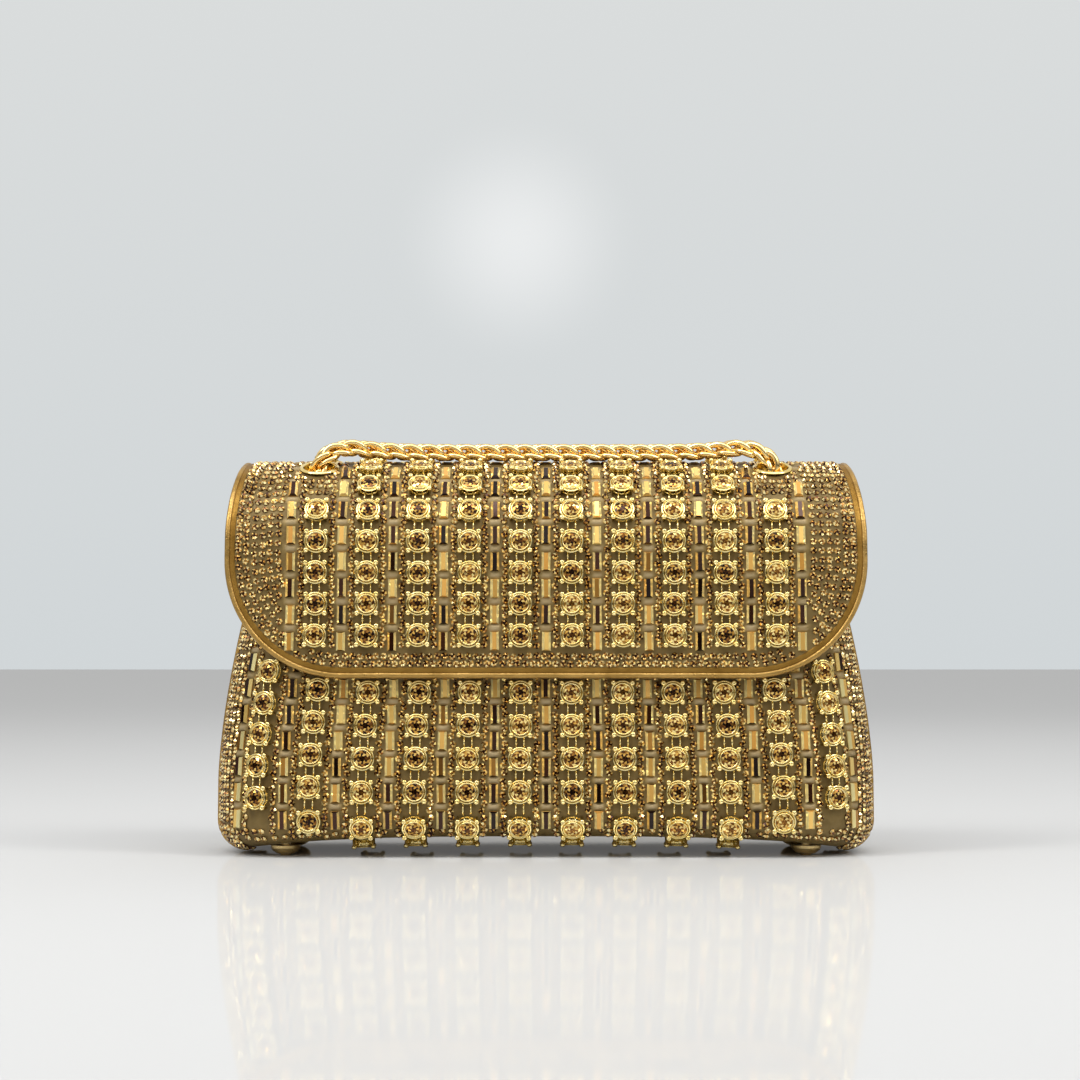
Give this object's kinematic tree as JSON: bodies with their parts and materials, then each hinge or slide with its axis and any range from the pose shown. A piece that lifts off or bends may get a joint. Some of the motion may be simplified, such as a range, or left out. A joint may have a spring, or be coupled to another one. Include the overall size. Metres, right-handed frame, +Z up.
{
  "type": "evening bag",
  "caption": "Small box-shaped evening bag with an arched hinged flap, rows of crystal settings and mirror bars, a braided chain strap through eyelets, and dome feet.",
  "frame": {"origin": "middle of the footprint, on the surface that the feet stand on", "axes": "+X across the bag to its left side as worn, seen from the front to the right; the front with the flap faces -Y; +Z up"},
  "size_m": [0.2226, 0.0737, 0.1402],
  "materials": {
    "gold_leather": "metallic gold leather, satin sheen, fine grain",
    "rhinestone_film": "matte taupe hot-fix glue film set with small topaz rhinestones",
    "satin_lining": "woven gold-beige satin",
    "stiffening_board": "grey pressed fibre board",
    "bright_gold_metal": "bright gold plating, polished",
    "satin_gold_metal": "satin gold plating",
    "plated_steel": "plain nickel-plated steel",
    "topaz_crystal": "foil-backed faceted smoked topaz crystal",
    "mirror_stone": "bevelled copper-gold mirror glass"
  },
  "bodies": {
    "bag_body": {"front_panel": "gold_leather", "back_panel": "gold_leather", "left_gusset": "gold_leather", "right_gusset": "gold_leather", "bottom_panel": "gold_leather", "front_board": "stiffening_board", "back_board": "stiffening_board", "bottom_board": "stiffening_board", "front_film": "rhinestone_film", "back_film": "rhinestone_film", "side_films": "rhinestone_film", "front_lining": "satin_lining", "back_lining": "satin_lining", "left_side_lining": "satin_lining", "right_side_lining": "satin_lining", "bottom_lining": "satin_lining", "slip_pocket": "satin_lining", "rim_binding": "gold_leather", "side_pipings": "gold_leather", "fold_strip": "gold_leather", "feet": "satin_gold_metal", "foot_washers": "plated_steel", "magnet_socket": "bright_gold_metal", "magnet_socket_washer": "plated_steel", "front_settings": "bright_gold_metal", "front_crystals": "topaz_crystal", "front_bars": "mirror_stone", "front_wires": "bright_gold_metal", "back_settings": "bright_gold_metal", "back_crystals": "topaz_crystal", "back_bars": "mirror_stone", "back_wires": "bright_gold_metal", "left_ring_tab": "gold_leather", "right_ring_tab": "gold_leather", "left_tab_rivet": "bright_gold_metal", "right_tab_rivet": "bright_gold_metal", "left_chain_drop": "bright_gold_metal", "right_chain_drop": "bright_gold_metal", "left_chain_return": "bright_gold_metal", "right_chain_return": "bright_gold_metal"},
    "flap": {"flap_leather": "gold_leather", "flap_board": "stiffening_board", "flap_lining": "satin_lining", "flap_film": "rhinestone_film", "flap_binding": "gold_leather", "flap_settings": "bright_gold_metal", "flap_crystals": "topaz_crystal", "flap_bars": "mirror_stone", "flap_wires": "bright_gold_metal", "left_eyelet": "bright_gold_metal", "right_eyelet": "bright_gold_metal", "eyelet_washers": "plated_steel", "magnet_plate": "bright_gold_metal", "chain_run": "bright_gold_metal"},
    "left_ring": {"left_d_ring": "bright_gold_metal", "left_chain_link": "bright_gold_metal"},
    "right_ring": {"right_d_ring": "bright_gold_metal", "right_chain_link": "bright_gold_metal"}
  },
  "joints": [
    {"name": "flap_hinge", "type": "hinge", "parent": "bag_body", "child": "flap", "pos_m": [0, 0.0337, 0.0999], "axis": [-1, 0, 0], "range_deg": [0, 135]},
    {"name": "left_ring_swing", "type": "hinge", "parent": "bag_body", "child": "left_ring", "pos_m": [-0.0941, 0.0038, 0.0864], "axis": [0, -1, 0], "range_deg": [0, 60]},
    {"name": "right_ring_swing", "type": "hinge", "parent": "bag_body", "child": "right_ring", "pos_m": [0.0941, 0.0038, 0.0864], "axis": [0, 1, 0], "range_deg": [0, 60]}
  ]
}
